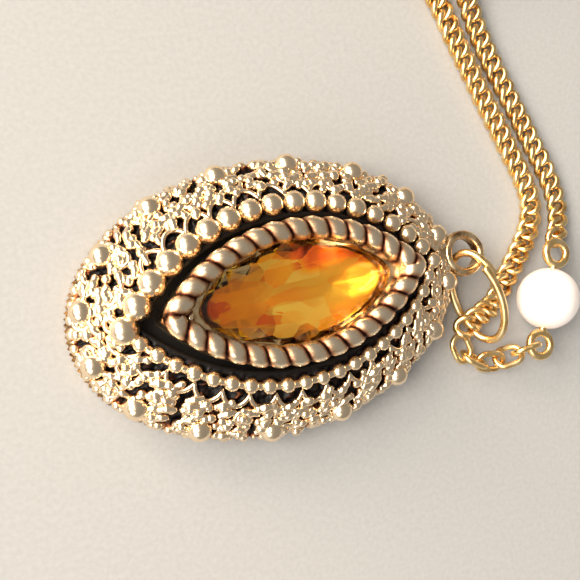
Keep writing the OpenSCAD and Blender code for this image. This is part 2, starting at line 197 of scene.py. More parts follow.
def wornRidgePlate():
    # gold plate over a stamped ridge: cream and bright on the crests, brown to black in the grooves
    material, shader = newMaterial("wornRidgePlate")
    crest = addNode(material, "ShaderNodeAttribute", {"attribute_name": "crest"}).outputs["Fac"]
    coords = addNode(material, "ShaderNodeTexCoord").outputs["Object"]
    grime = addNode(material, "ShaderNodeTexNoise", {"Scale": perMm(0.6), "Detail": 4.0}, {"Vector": coords})
    ragged = addNode(material, "ShaderNodeMath", {"operation": "MULTIPLY_ADD", 1: 0.5, 2: -0.25}, {0: grime})
    height = addNode(material, "ShaderNodeMath", {"operation": "ADD"}, {0: crest, 1: ragged})
    colour = addNode(material, "ShaderNodeValToRGB",
                     {"stops": [(0.1, "#0d0705"), (0.34, "#5a3122"), (0.58, "#c89670"),
                                (0.8, "#f4d4ac"), (1.0, "#ffebcc")]}, {"Fac": height})
    rough = addNode(material, "ShaderNodeMapRange", {"To Min": 0.55, "To Max": 0.26}, {"Value": height})
    pits = addNode(material, "ShaderNodeTexNoise", {"Scale": perMm(0.25), "Detail": 3.0}, {"Vector": coords})
    bump = addNode(material, "ShaderNodeBump", {"Strength": 0.3, "Distance": 0.05 * mm}, {"Height": pits})
    link(material, colour, shader.inputs["Base Color"])
    link(material, rough, shader.inputs["Roughness"])
    link(material, bump, shader.inputs["Normal"])
    shader.inputs["Metallic"].default_value = 1.0
    return material


def polishedGoldPlate(name, dark, mid, light, rough=(0.16, 0.3), grain=0.5):
    # bright gold plate over brass: even yellow shine, slightly deeper in worn patches
    material, shader = newMaterial(name)
    coords = addNode(material, "ShaderNodeTexCoord").outputs["Object"]
    wear = addNode(material, "ShaderNodeTexNoise",
                   {"Scale": perMm(grain * 3), "Detail": 4.0, "Roughness": 0.55}, {"Vector": coords})
    colour = addNode(material, "ShaderNodeValToRGB",
                     {"stops": [(0.3, dark), (0.5, mid), (0.7, light)]}, {"Fac": wear})
    gloss = addNode(material, "ShaderNodeMapRange",
                    {"From Min": 0.3, "From Max": 0.7, "To Min": rough[0], "To Max": rough[1]},
                    {"Value": wear})
    drawn = addNode(material, "ShaderNodeTexNoise",
                    {"Scale": perMm(grain * 0.4), "Detail": 2.0}, {"Vector": coords})
    bump = addNode(material, "ShaderNodeBump", {"Strength": 0.2, "Distance": 0.03 * mm}, {"Height": drawn})
    link(material, colour, shader.inputs["Base Color"])
    link(material, gloss, shader.inputs["Roughness"])
    link(material, bump, shader.inputs["Normal"])
    shader.inputs["Metallic"].default_value = 1.0
    return material


def blackLacquer():
    # stoved black lacquer on brass: deep black, softly glossy, with fine dust
    material, shader = newMaterial("blackLacquer")
    coords = addNode(material, "ShaderNodeTexCoord").outputs["Object"]
    dust = addNode(material, "ShaderNodeTexNoise", {"Scale": perMm(0.35), "Detail": 5.0}, {"Vector": coords})
    colour = addNode(material, "ShaderNodeValToRGB",
                     {"stops": [(0.5, "#040404"), (0.8, "#100e0d")]}, {"Fac": dust})
    rough = addNode(material, "ShaderNodeMapRange", {"To Min": 0.45, "To Max": 0.7}, {"Value": dust})
    bump = addNode(material, "ShaderNodeBump", {"Strength": 0.15, "Distance": 0.03 * mm}, {"Height": dust})
    link(material, colour, shader.inputs["Base Color"])
    link(material, rough, shader.inputs["Roughness"])
    link(material, bump, shader.inputs["Normal"])
    shader.inputs["IOR"].default_value = 1.5
    shader.inputs["Specular IOR Level"].default_value = 0.25
    return material


def amberCrystal():
    # pressed and fire-polished crystal glass, dyed amber: clear body, sharp bright facets
    material, shader = newMaterial("amberCrystal")
    coords = addNode(material, "ShaderNodeTexCoord").outputs["Object"]
    cloud = addNode(material, "ShaderNodeTexNoise", {"Scale": perMm(6.0), "Detail": 1.0}, {"Vector": coords})
    colour = addNode(material, "ShaderNodeValToRGB",
                     {"stops": [(0.35, "#ffd08a"), (0.6, "#ffe6a4")]}, {"Fac": cloud})
    link(material, colour, shader.inputs["Base Color"])
    shader.inputs["Roughness"].default_value = 0.02
    shader.inputs["IOR"].default_value = 1.52
    shader.inputs["Specular IOR Level"].default_value = 0.15
    shader.inputs["Transmission Weight"].default_value = 1.0
    return material


def foilPaintedReflections():
    # burnished foil behind the stone: throws the light back up through the facets; its golden colour carries
    # painted light: a painted glow from orange on the left to yellow on the right, a painted shadow in the
    # upper-right corner, and patches of painted facet reflections
    material, shader = newMaterial("foilPaintedReflections")
    coords = addNode(material, "ShaderNodeTexCoord").outputs["Object"]
    flat = addNode(material, "ShaderNodeMapping",
                   {"Rotation": (0, 0, math.radians(-24)), "Scale": (0.55, 1.5, 0.4)}, {"Vector": coords})
    # painted facet reflections: each stretched cell gets its own bright or dark tone, standing in for light
    # off the facets
    paintedFacetReflections = addNode(material, "ShaderNodeTexVoronoi", {"distance": "MANHATTAN", "Scale": perMm(2.4)},
                     {"Vector": flat})
    pick = addNode(material, "ShaderNodeSeparateColor", links={"Color": paintedFacetReflections.outputs["Color"]})
    place = addNode(material, "ShaderNodeSeparateXYZ", links={"Vector": coords})
    # painted light: darker orange on the left, brightening to yellow on the right
    paintedLightAcross = addNode(material, "ShaderNodeMapRange",
                   {"From Min": -9 * mm, "From Max": 7 * mm, "To Min": 0.1, "To Max": 0.72}, {"Value": place})
    # painted shadow: the upper-right corner of the stone is darkened
    shadeY = addNode(material, "ShaderNodeMapRange", {"From Min": 0.9 * mm, "From Max": 2.2 * mm},
                     {"Value": place.outputs["Y"]})
    shade = addNode(material, "ShaderNodeMapRange",
                    {"From Min": 0.5 * mm, "From Max": 2.5 * mm, "To Max": 0.7}, {"Value": place})
    corner = addNode(material, "ShaderNodeMath", {"operation": "MULTIPLY"}, {0: shade, 1: shadeY})
    mixed = addNode(material, "ShaderNodeMath", {"operation": "MULTIPLY_ADD", 1: 0.62}, {0: pick, 2: paintedLightAcross})
    picked = addNode(material, "ShaderNodeMath", {"operation": "SUBTRACT"}, {0: mixed, 1: corner})
    # ramp runs from a painted-shadow red-brown to a painted-highlight pale yellow
    colour = addNode(material, "ShaderNodeValToRGB",
                     {"stops": [(0.0, "#6b1f08"), (0.16, "#d9600f"), (0.34, "#f8921c"),
                                (0.54, "#ffcc2e"), (0.8, "#fff68a")]}, {"Fac": picked})
    link(material, colour, shader.inputs["Base Color"])
    shader.inputs["Metallic"].default_value = 0.7
    shader.inputs["Roughness"].default_value = 0.4
    return material


def glassPearlCoat():
    # glass bead under many coats of pearl essence: white, soft satin shine with a faint rosy cast
    material, shader = newMaterial("glassPearlCoat")
    coords = addNode(material, "ShaderNodeTexCoord").outputs["Object"]
    cloud = addNode(material, "ShaderNodeTexNoise", {"Scale": perMm(2.5), "Detail": 2.0}, {"Vector": coords})
    colour = addNode(material, "ShaderNodeValToRGB",
                     {"stops": [(0.35, "#f3e6df"), (0.65, "#fbf6f1")]}, {"Fac": cloud})
    skin = addNode(material, "ShaderNodeTexNoise", {"Scale": perMm(0.15), "Detail": 2.0}, {"Vector": coords})
    bump = addNode(material, "ShaderNodeBump", {"Strength": 0.08, "Distance": 0.02 * mm}, {"Height": skin})
    link(material, colour, shader.inputs["Base Color"])
    link(material, bump, shader.inputs["Normal"])
    shader.inputs["Roughness"].default_value = 0.28
    shader.inputs["Subsurface Weight"].default_value = 0.15
    shader.inputs["Subsurface Radius"].default_value = (0.8 * mm, 0.5 * mm, 0.4 * mm)
    shader.inputs["Subsurface Scale"].default_value = 1.0
    shader.inputs["Coat Weight"].default_value = 0.7
    shader.inputs["Coat Roughness"].default_value = 0.12
    shader.inputs["Sheen Weight"].default_value = 0.25
    shader.inputs["Sheen Tint"].default_value = hexColour("#ffd9d0")
    return material


def springSteel():
    # drawn spring wire: cool grey, fine lengthways lines
    material, shader = newMaterial("springSteel")
    coords = addNode(material, "ShaderNodeTexCoord").outputs["Object"]
    drawn = addNode(material, "ShaderNodeTexNoise", {"Scale": perMm(0.2), "Detail": 3.0}, {"Vector": coords})
    colour = addNode(material, "ShaderNodeValToRGB",
                     {"stops": [(0.3, "#8d9096"), (0.7, "#c9ccd1")]}, {"Fac": drawn})
    link(material, colour, shader.inputs["Base Color"])
    shader.inputs["Metallic"].default_value = 1.0
    shader.inputs["Roughness"].default_value = 0.3
    return material


def paleCard():
    # matt white card
    material, shader = newMaterial("paleCard")
    coords = addNode(material, "ShaderNodeTexCoord").outputs["Object"]
    tooth = addNode(material, "ShaderNodeTexNoise", {"Scale": perMm(0.5), "Detail": 3.0}, {"Vector": coords})
    colour = addNode(material, "ShaderNodeValToRGB",
                     {"stops": [(0.3, "#a4a3a1"), (0.7, "#acaba9")]}, {"Fac": tooth})
    link(material, colour, shader.inputs["Base Color"])
    shader.inputs["Roughness"].default_value = 0.85
    return material


castGold = antiquedGoldPlate(darkAt=-0.1, brightAt=0.45)
beadGold = antiquedGoldPlate("antiquedGoldBead", darkAt=-0.2, brightAt=0.42, shine=0.26)
ridgeGold = wornRidgePlate()
settingGold = polishedGoldPlate("wornGoldPlate", "#8a6038", "#e3c090", "#f5dfb8", rough=(0.2, 0.36))
rimGold = polishedGoldPlate("rimGoldPlate", "#7a5a38", "#cfab78", "#ecd2a2", rough=(0.25, 0.42))
chainGold = polishedGoldPlate("brightGoldPlate", "#e2b06a", "#f6d392", "#ffe6b4", rough=(0.24, 0.36))
lacquer = blackLacquer()
amber = amberCrystal()
foilPaintedLight = foilPaintedReflections()
pearlCoat = glassPearlCoat()
steel = springSteel()
print("materials made")


def meshPiece(name, points, faces, material, smooth=True):
    data = bpy.data.meshes.new(name)
    data.from_pydata((np.asarray(points, float) * mm).tolist(), [], [list(f) for f in faces])
    data.materials.append(material)
    data.polygons.foreach_set("use_smooth", [smooth] * len(data.polygons))
    data.update()
    piece = bpy.data.objects.new(name, data)
    bpy.context.scene.collection.objects.link(piece)
    return piece


def joined(parts):
    # several (points, faces) as one
    points, faces, start = [], [], 0
    for p, f in parts:
        points.append(np.asarray(p, float))
        faces += [[i + start for i in face] for face in f]
        start += len(p)
    return np.concatenate(points), faces


def unitRows(rows):
    return rows / np.maximum(np.linalg.norm(rows, axis=1, keepdims=True), 1e-9)


def tube(path, radius, sides=8, closed=False):
    # round wire along a path; its frame turns no more than it must
    path = np.asarray(path, float)
    n = len(path)
    ahead = np.roll(path, -1, 0) - np.roll(path, 1, 0) if closed else np.gradient(path, axis=0)
    ahead = unitRows(ahead)
    side = np.cross(ahead[0], (0.3, 0.2, 0.93))
    frames = []
    for i in range(n + (1 if closed else 0)):
        t = ahead[i % n]
        side = side - t * side.dot(t)
        side = side / np.linalg.norm(side)
        frames.append(side)
    twist = 0.0
    if closed:
        t = ahead[0]
        twist = math.atan2(np.cross(frames[0], frames[n]).dot(t), frames[0].dot(frames[n]))
    angles = np.arange(sides) * 2 * math.pi / sides
    radii = np.broadcast_to(radius, n)
    points = []
    for i in range(n):
        other = np.cross(ahead[i], frames[i])
        spin = angles - twist * i / n
        ring = np.outer(np.cos(spin), frames[i]) + np.outer(np.sin(spin), other)
        points.append(path[i] + radii[i] * ring)
    points = np.concatenate(points)
    faces = []
    for j in range(n if closed else n - 1):
        k = (j + 1) % n
        for i in range(sides):
            m = (i + 1) % sides
            faces.append([j * sides + i, j * sides + m, k * sides + m, k * sides + i])
    if not closed:
        faces.append(list(range(sides - 1, -1, -1)))
        faces.append([(n - 1) * sides + i for i in range(sides)])
    return points, faces


def ballTemplate(detail):
    data = bpy.data.meshes.new("template")
    shape = bmesh.new()
    bmesh.ops.create_icosphere(shape, subdivisions=detail, radius=1)
    shape.to_mesh(data)
    shape.free()
    points = np.array([v.co for v in data.vertices], float)
    faces = [list(p.vertices) for p in data.polygons]
    bpy.data.meshes.remove(data)
    return points, faces


smallBall = ballTemplate(2)


def ball(centre, radius, squash=1.0):
    points = smallBall[0] * radius * np.array((1, 1, squash))
    return points + np.asarray(centre, float), smallBall[1]


def smoothRoute(points, step=0.25):
    # even points along a smooth curve through the given ones
    points = np.asarray(points, float)
    padded = np.concatenate([[2 * points[0] - points[1]], points, [2 * points[-1] - points[-2]]])
    line = []
    for i in range(1, len(padded) - 2):
        p0, p1, p2, p3 = padded[i - 1:i + 3]
        for t in np.linspace(0, 1, 12, endpoint=False):
            line.append(0.5 * (2 * p1 + (p2 - p0) * t + (2 * p0 - 5 * p1 + 4 * p2 - p3) * t * t
                               + (3 * p1 - p0 - 3 * p2 + p3) * t ** 3))
    line.append(points[-1])
    line = np.array(line)
    along = np.concatenate([[0], np.cumsum(np.linalg.norm(np.diff(line, axis=0), axis=1))])
    at = np.linspace(0, along[-1], max(2, round(along[-1] / step) + 1))
    return np.stack([np.interp(at, along, line[:, k]) for k in range(3)], axis=1)


chain = {
    "width": 2.8,
    "pitch": 1.55,
    "wire": 0.74,
    "twist": 88,  # degrees, end to end of a link
    "floorHeight": 0.98,
    "layer": 2.0,
    "tubeHeight": 1.4,
    "coilCentre": (30.5, 50.3),
    "tracks": (16.2, 13.4, 10.6),
    "coilFromRing": (205, 1095, 8.6),  # degrees at the start, degrees wound, radius at the end
    "coilFromPearl": (250, 965, 7.2),
    "sway": 14,  # degrees that the links roll either way along the strand
}

routeA = [
    (20.9, -8.3, 2.9), (22.6, -7.6, 3.0), (24.5, -7.0, 2.6), (26.5, -6.3, 1.8), (28.1, -4.8, 1.4),
    (30.1, -2.8, 1.4), (32.4, -0.4, 1.4), (34.0, 2.0, 1.4), (34.6, 4.5, 1.4), (34.2, 7.3, 1.4),
    (33.2, 10.7, 1.4), (32.2, 14.1, 1.4), (31.1, 17.7, 1.4), (30.1, 21.3, 1.4), (29.1, 25.0, 1.4),
    (28.2, 28.6, 1.4), (26.7, 32.2, 1.4), (23.7, 35.6, 1.4), (19.0, 38.8, 1.4), (15.8, 43.5, 1.4),
]
routeB = [
    (35.9, -1.2, 3.0), (37.3, 0.2, 1.9), (38.2, 2.4, 1.4), (38.2, 4.8, 1.4), (37.6, 7.9, 1.4),
    (36.6, 11.1, 1.4), (35.6, 14.5, 1.4), (34.5, 18.0, 1.4), (33.4, 21.6, 1.4), (32.5, 25.0, 1.6),
    (31.8, 28.0, 2.2), (31.0, 30.7, 3.3), (28.9, 33.4, 4.3), (25.0, 35.1, 4.3),
]


def coilTurns(winding, height):
    # full turns on three tracks, clockwise; the step from one track to the next takes a tenth of a turn
    startAngle, totalTurn, tail = winding
    points = []
    steps = int(totalTurn / 9)
    for i in range(1, steps + 1):
        turned = totalTurn * i / steps
        lap = min(int(turned // 360), 2)
        part = turned / 360 - lap
        radius = chain["tracks"][lap]
        if lap < 2 and part > 0.88:
            blend = (part - 0.88) / 0.12
            radius += (chain["tracks"][lap + 1] - radius) * blend * blend * (3 - 2 * blend)
        if turned > totalTurn - 60:
            drift = (turned - totalTurn + 60) / 60
            radius -= (radius - tail) * drift * drift * (3 - 2 * drift)
        angle = math.radians(startAngle - turned)
        points.append((chain["coilCentre"][0] + radius * math.cos(angle),
                       chain["coilCentre"][1] + radius * math.sin(angle), height))
    return points


def settled(route):
    # the links lie flatter than the space kept for them
    share = chain["layer"] / chain["width"]
    return [(x, y, chain["floorHeight"] + (z - chain["tubeHeight"]) * share) for x, y, z in route]


def curbLink():
    # one oval of wire, twisted so that its ends stand at opposite slants
    t = np.linspace(0, 2 * math.pi, 28, endpoint=False)
    length = chain["pitch"] + chain["wire"] * 1.02
    width = chain["width"] - chain["wire"]
    along = length / 2 * np.cos(t)
    across = width / 2 * np.sin(t)
    slant = np.radians(chain["twist"] / 2) * np.cos(t)
    return tube(np.stack([along, across * np.cos(slant), across * np.sin(slant)], axis=1),
                chain["wire"] / 2, 9, closed=True)


def chainMesh(name, route, seed):
    line = smoothRoute(route)
    along = np.concatenate([[0], np.cumsum(np.linalg.norm(np.diff(line, axis=0), axis=1))])
    count = int(along[-1] / chain["pitch"])
    at = (np.arange(count) + 0.5) * along[-1] / count
    centres = np.stack([np.interp(at, along, line[:, k]) for k in range(3)], axis=1)
    before = np.stack([np.interp(at - 0.8, along, line[:, k]) for k in range(3)], axis=1)
    after = np.stack([np.interp(at + 0.8, along, line[:, k]) for k in range(3)], axis=1)
    ahead = unitRows(after - before)
    linkPoints, linkFaces = curbLink()
    parts = []
    for i in range(count):
        across = np.cross((0, 0, 1), ahead[i])
        across = across / np.linalg.norm(across)
        upward = np.cross(ahead[i], across)
        roll = math.radians(chain["sway"]) * noise.noise(Vector((i * 0.17, seed, 0)))
        a2 = math.cos(roll) * across + math.sin(roll) * upward
        u2 = math.cos(roll) * upward - math.sin(roll) * across
        parts.append((centres[i] + linkPoints @ np.array([ahead[i], a2, u2]), linkFaces))
    points, faces = joined(parts)
    piece = meshPiece(name, points, faces, chainGold)
    return piece, line, along[-1]


def makeChains():
    low = chain["floorHeight"]
    wholeA = settled(routeA) + coilTurns(chain["coilFromRing"], low)
    wholeB = settled(routeB) + coilTurns(chain["coilFromPearl"], low + chain["layer"])
    strandA, lineA, longA = chainMesh("curbChainFromRing", wholeA, 1.3)
    strandB, lineB, longB = chainMesh("curbChainFromPearl", wholeB, 5.1)
    for strand in (strandA, strandB):
        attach(strand, "chain")
    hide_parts("chain_a", "coil_a")
    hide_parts("chain_b", "coil_b")
    print("chains laid:", round(longA), "and", round(longB), "mm")


makeChains()


def makeFloor():
    half = 0.6
    data = bpy.data.meshes.new("floor")
    corners = [(-half, -half, 0), (half, -half, 0), (half, half, 0), (-half, half, 0)]
    data.from_pydata(corners, [], [(0, 1, 2, 3)])
    data.materials.append(paleCard())
    floor = bpy.data.objects.new("floor", data)
    floor.location.z = -0.02 * mm
    bpy.context.scene.collection.objects.link(floor)


lamps = [
    # name, place in mm, size in mm, watts, tint
    ("key", (-540, 120, 520), 420, 9.6, "#fff8ee"),
    ("farSide", (-380, 460, 280), 340, 5.0, "#fff0dc"),
    ("nearSide", (-460, -380, 340), 360, 1.9, "#fbf4ee"),
]


def makeLamps():
    for name, place, size, watts, tint in lamps:
        data = bpy.data.lights.new(name, "AREA")
        data.size = size * mm
        data.energy = watts
        data.color = hexColour(tint)[:3]
        lamp = bpy.data.objects.new(name, data)
        lamp.location = Vector(place) * mm
        lamp.rotation_euler = (-Vector(place)).to_track_quat("-Z", "Y").to_euler()
        bpy.context.scene.collection.objects.link(lamp)
    world = bpy.data.worlds.new("studio")
    world.use_nodes = True
    world.node_tree.nodes["Background"].inputs["Color"].default_value = hexColour("#d3cfca")
    world.node_tree.nodes["Background"].inputs["Strength"].default_value = 0.42
    bpy.context.scene.world = world
    bpy.context.scene.view_settings.view_transform = "Standard"


makeFloor()
makeLamps()
print("floor and lamps placed")


cover = {
    "around": 900,
    "rings": 64,
    "ribs": 150,
    "ribTop": 0.3,  # radians up the dome where the milled band ends
    "ribHeight": 0.42,
    "ribDepth": 0.18,
    "edge": 0.985,  # share of the half axes at the foot of the cover
    "relief": 0.34,
    "cell": 1.15,  # mm between the lumps of the casting
    "lumpShare": 0.55,
    "threadShare": 0.6,
    "fineShare": 0.25,
    "seamShare": 0.5,
    "sink": 0.12,
    "lipIn": 0.35,
    "lipTop": 0.15,
    "lipDepth": 0.9,
}


def channelShare(angle):
    # share of the half axes at which the sunk channel's edge lies in that direction
    length = body["rowLength"] - body["channelInset"]
    width = body["rowWidth"] - body["channelInset"]
    radius = arcRadius(length, width)
    low, high = 0.2, 1.0
    for _ in range(24):
        middle = (low + high) / 2
        x = body["halfLength"] * middle * math.cos(angle)
        y = body["halfWidth"] * middle * math.sin(angle)
        inside = math.hypot(x - body["eyeShift"], abs(y) + radius - width / 2) < radius
        low, high = (middle, high) if inside else (low, middle)
    return high


def castRelief(x, y, z):
    # worm-like threads and lumps, in millimetres above or below the skin
    spot = Vector((x, y, z * 0.6))
    lumps = noise.voronoi(spot / cover["cell"])[0]
    rounded = 0.5 - lumps[0]
    seams = min(1.0, (lumps[1] - lumps[0]) * 2.5)
    threads = 1 - abs(noise.noise(spot * 0.95 + Vector((9, 4, 2)))) * 4.5
    fine = noise.noise(spot * 3.1)
    height = cover["lumpShare"] * rounded + cover["threadShare"] * max(threads, -0.6)
    height += cover["fineShare"] * fine - cover["seamShare"] * (1 - seams)
    return cover["relief"] * height


def makeCastCover():
    around, rings = cover["around"], cover["rings"]
    points, faces = [], []
    for i in range(around):
        angle = 2 * math.pi * i / around
        inner = channelShare(angle)
        startTurn, endTurn = math.acos(cover["edge"]), math.acos(min(inner, cover["edge"]))
        for j in range(rings):
            turn = startTurn + (endTurn - startTurn) * j / (rings - 1)
            x = body["halfLength"] * math.cos(turn) * math.cos(angle)
            y = body["halfWidth"] * math.cos(turn) * math.sin(angle)
            z = body["girdle"] + body["rise"] * math.sin(turn)
            edge = min(1.0, min(j, rings - 1 - j) / 5)
            milled = cover["ribHeight"] + cover["ribDepth"] * math.cos(angle * cover["ribs"])
            share = min(1.0, max(0.0, (turn - cover["ribTop"]) * 12 + 0.5))
            relief = castRelief(x, y, z) * share + milled * (1 - share)
            shift = domeNormal(x, y) * (relief * edge - cover["sink"])
            points.append((x + shift.x, y + shift.y, max(z + shift.z, body["rimTop"] - 0.2)))
        x, y, z = points[-1]  # inner lip turns down into the channel
        pull = 1 - cover["lipIn"] / math.hypot(x, y)
        points.append((x * pull, y * pull, z - cover["lipTop"]))
        points.append((x * pull, y * pull, z - cover["lipDepth"]))
        x, y, z = points[i * (rings + 3)]
        points.append((x, y, body["rimTop"] - 0.3))
    count = rings + 3
    order = [rings + 2] + list(range(rings)) + [rings, rings + 1]
    for i in range(around):
        k = (i + 1) % around
        for p, q in zip(order[:-1], order[1:]):
            faces.append([i * count + p, k * count + p, k * count + q, i * count + q])
    piece = meshPiece("castOpenworkCover", points, faces, castGold)
    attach(piece, "pendant")
    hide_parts("filigree_cover")


makeCastCover()
print("cover cast")


filigree = {
    "curlWire": 0.27,
    "curlRadius": 0.95,
    "curlShares": (0.83, 0.925),
    "curlPitch": 4.2,
    "grainShares": (0.78, 0.85, 0.91, 0.955),
    "grainPitch": 2.6,
    "grainKept": 0.8,
    "grainRadius": (0.46, 0.7),
    "bitLength": (1.4, 2.3),
    "bitWire": (0.36, 0.52),
    "curlTurns": (1.1, 1.5),
    "bitShares": (0.77, 0.825, 0.88, 0.935),
    "bitPitch": 1.75,
    "bitTwist": 0.95,
    "curlGap": 1.7,  # mm kept clear of the bead row
    "grainGap": 1.1,
    "bitGap": 1.2,
    "curlEnd": 19.3,  # mm along X, where the bail begins
    "grainEnd": 19.6,
}


def onSkin(angle, share, lift):
    x = body["halfLength"] * share * math.cos(angle)
    y = body["halfWidth"] * share * math.sin(angle)
    base = Vector((x, y, domeHeight(x, y)))
    return base + domeNormal(x, y) * lift


def skinFrame(angle, share):
    x = body["halfLength"] * share * math.cos(angle)
    y = body["halfWidth"] * share * math.sin(angle)
    up = domeNormal(x, y)
    around = Vector((-y / body["halfWidth"] ** 2, x / body["halfLength"] ** 2, 0)).normalized()
    around = (around - up * around.dot(up)).normalized()
    return around, up.cross(around), up


def ovalLength(share):
    a, b = body["halfLength"] * share, body["halfWidth"] * share
    return math.pi * (3 * (a + b) - math.sqrt((3 * a + b) * (a + 3 * b)))


def curl(centre, axes, radius, wire, turns, spin, hand):
    # flat spiral of wire with a small ball at its heart
    around, inward, up = axes
    path = []
    steps = int(18 * turns)
    for i in range(steps + 1):
        s = i / steps
        angle = spin + hand * 2 * math.pi * turns * s
        r = radius * (1 - 0.72 * s)
        aside = around * (r * math.cos(angle)) + inward * (r * math.sin(angle))
        path.append(centre + aside + up * (0.16 * s))
    return [tube([tuple(p) for p in path], wire, 6), ball(path[-1] + up * 0.05, wire * 1.7)]


def twistedBit(centre, axes, length, wire, lean):
    # short bent piece of wire with rounded ends and a twist of lumps along it
    around, inward, up = axes
    ahead = around * math.sin(lean) + inward * math.cos(lean)
    aside = up.cross(ahead)
    bow = dice.uniform(-0.4, 0.4)
    path, radii = [], []
    for i in range(25):
        s = i / 24
        k = 2 * s - 1
        spot = centre + ahead * (length / 2 * k) + aside * (bow * (1 - k * k)) - up * (0.12 * k * k)
        path.append(tuple(spot))
        lump = 1 + 0.13 * math.cos(2 * math.pi * s * length / filigree["bitTwist"])
        radii.append(wire * math.sqrt(max(0.03, 1 - k ** 6)) * lump)
    return tube(path, np.array(radii), 8)


def makeFiligree():
    parts = []
    for row, share in enumerate(filigree["curlShares"]):
        count = round(ovalLength(share) / filigree["curlPitch"])
        for i in range(count):
            angle = 2 * math.pi * (i + 0.5 * row + dice.uniform(-0.12, 0.12)) / count
            size = filigree["curlRadius"] * dice.uniform(0.8, 1.15)
            centre = onSkin(angle, share + dice.uniform(-0.008, 0.008), 0.22)
            if not outsideRow(centre.x, centre.y, filigree["curlGap"]) or centre.x > filigree["curlEnd"]:
                continue
            parts += curl(centre, skinFrame(angle, share), size, filigree["curlWire"],
                          dice.uniform(*filigree["curlTurns"]), dice.uniform(0, 6.28), dice.choice((-1, 1)))
    points, faces = joined(parts)
    curls = meshPiece("filigreeCurls", points, faces, beadGold)
    grains = []
    for share in filigree["grainShares"]:
        count = round(ovalLength(share) / filigree["grainPitch"])
        for i in range(count):
            angle = 2 * math.pi * (i + dice.uniform(-0.35, 0.35)) / count
            place = share + dice.uniform(-0.018, 0.018)
            radius = dice.uniform(*filigree["grainRadius"])
            centre = onSkin(angle, place, dice.uniform(0.0, 0.35))
            clear = outsideRow(centre.x, centre.y, filigree["grainGap"]) and centre.x < filigree["grainEnd"]
            if clear and dice.random() < filigree["grainKept"]:
                grains.append(ball(centre, radius))
    points, faces = joined(grains)
    granules = meshPiece("fineGranules", points, faces, beadGold)
    bits = []
    for share in filigree["bitShares"]:
        count = round(ovalLength(share) / filigree["bitPitch"])
        hand = dice.choice((-1, 1))
        for i in range(count):
            angle = 2 * math.pi * (i + dice.uniform(-0.3, 0.3)) / count
            place = share + dice.uniform(-0.012, 0.012)
            centre = onSkin(angle, place, dice.uniform(0.12, 0.4))
            if outsideRow(centre.x, centre.y, filigree["bitGap"]) and centre.x < filigree["grainEnd"]:
                bits.append(twistedBit(centre, skinFrame(angle, place),
                                       dice.uniform(*filigree["bitLength"]),
                                       dice.uniform(*filigree["bitWire"]),
                                       hand * dice.gauss(0.8, 0.4)))
    points, faces = joined(bits)
    twisted = meshPiece("twistedBits", points, faces, beadGold)
    for piece in (curls, granules, twisted):
        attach(piece, "pendant")
    print("filigree:", len(parts) // 2, "curls,", len(grains), "granules,", len(bits), "twisted bits")


makeFiligree()


row = {
    "beads": 16,
    "small": 1.9,
    "large": 3.0,
    "growth": 0.08,
    "lift": 0.35,
    "frontBeads": 20,
    "frontBead": 1.6,
    "frontWire": 0.42,
    "frontLift": 0.3,
    "frontWireLift": 0.12,
    "loopLift": 0.2,
    "loops": 15,
    "loopWire": 0.26,
    "loopIn": 0.7,
    "loopOut": 1.3,
}


def rowPoint(share, side, lift):
    # share runs from the bail's tip to the far tip of the eye
    radius = arcRadius(body["rowLength"], body["rowWidth"])
    u = math.asin(body["rowLength"] / 2 / radius) * (1 - 2 * share)
    x = radius * math.sin(u) + body["eyeShift"]
    y = side * (radius * math.cos(u) + body["rowWidth"] / 2 - radius)
    return Vector((x, y, domeHeight(x, y) + lift))


def makeRow():
    parts = []
    for i in range(row["beads"] + 2):
        s = i / (row["beads"] + 1)
        size = row["small"] + (row["large"] - row["small"]) * s
        spot = rowPoint(s + row["growth"] * s * (s - 1), 1, row["lift"])
        parts.append(ball(spot, size / 2 * dice.uniform(0.95, 1.02), dice.uniform(0.86, 0.95)))
    wire = []
    for i in range(1, row["frontBeads"] + 1):
        s = i / (row["frontBeads"] + 1)
        spot = rowPoint(s, -1, row["frontLift"])
        size = row["frontBead"] * (0.92 + 0.16 * s)
        parts.append(ball(spot, size / 2 * dice.uniform(0.94, 1.04), 0.85))
    for i in range(121):
        wire.append(tuple(rowPoint(i / 120, -1, row["frontWireLift"])))
    parts.append(tube(wire, row["frontWire"], 8))
    points, faces = joined(parts)
    beads = meshPiece("eyeRowBeads", points, faces, beadGold)
    loops = []
    for side in (-1, 1):
        festoon = []
        for i in range(361):
            share = i / 360
            spot = rowPoint(share, side, 0)
            out = Vector((spot.x - body["eyeShift"], spot.y * (body["rowLength"] / body["rowWidth"]) ** 2, 0))
            out.normalize()
            reach = row["loopIn"] + row["loopOut"] * abs(math.sin(math.pi * row["loops"] * share)) ** 0.6
            x, y = spot.x + out.x * reach, spot.y + out.y * reach
            festoon.append(tuple(Vector((x, y, domeHeight(x, y))) + domeNormal(x, y) * row["loopLift"]))
        loops.append(tube(festoon, row["loopWire"], 8))
    points, faces = joined(loops)
    scallops = meshPiece("scallopLoops", points, faces, beadGold)
    for piece, name in ((beads, "eye_beads"), (scallops, "scallop_wire")):
        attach(piece, "pendant")
        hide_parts(name)


makeRow()


rope = {
    "length": 25.4,
    "width": 11.75,
    "height": 8.85,
    "thickness": 2.25,
    "ridges": 29,
    "slant": 1,  # ridges passed in one trip round the wire
    "groove": 0.3,
    "cornerSoftening": 7,
    "tipBars": ((-11.9, 3.2), (-10.95, 4.4), (12.55, 2.6), (11.75, 3.6)),  # place along X, length
    "tipBarHeight": 8.3,
    "tipBarWire": 0.95,
    "tipBarPitch": 0.8,
}


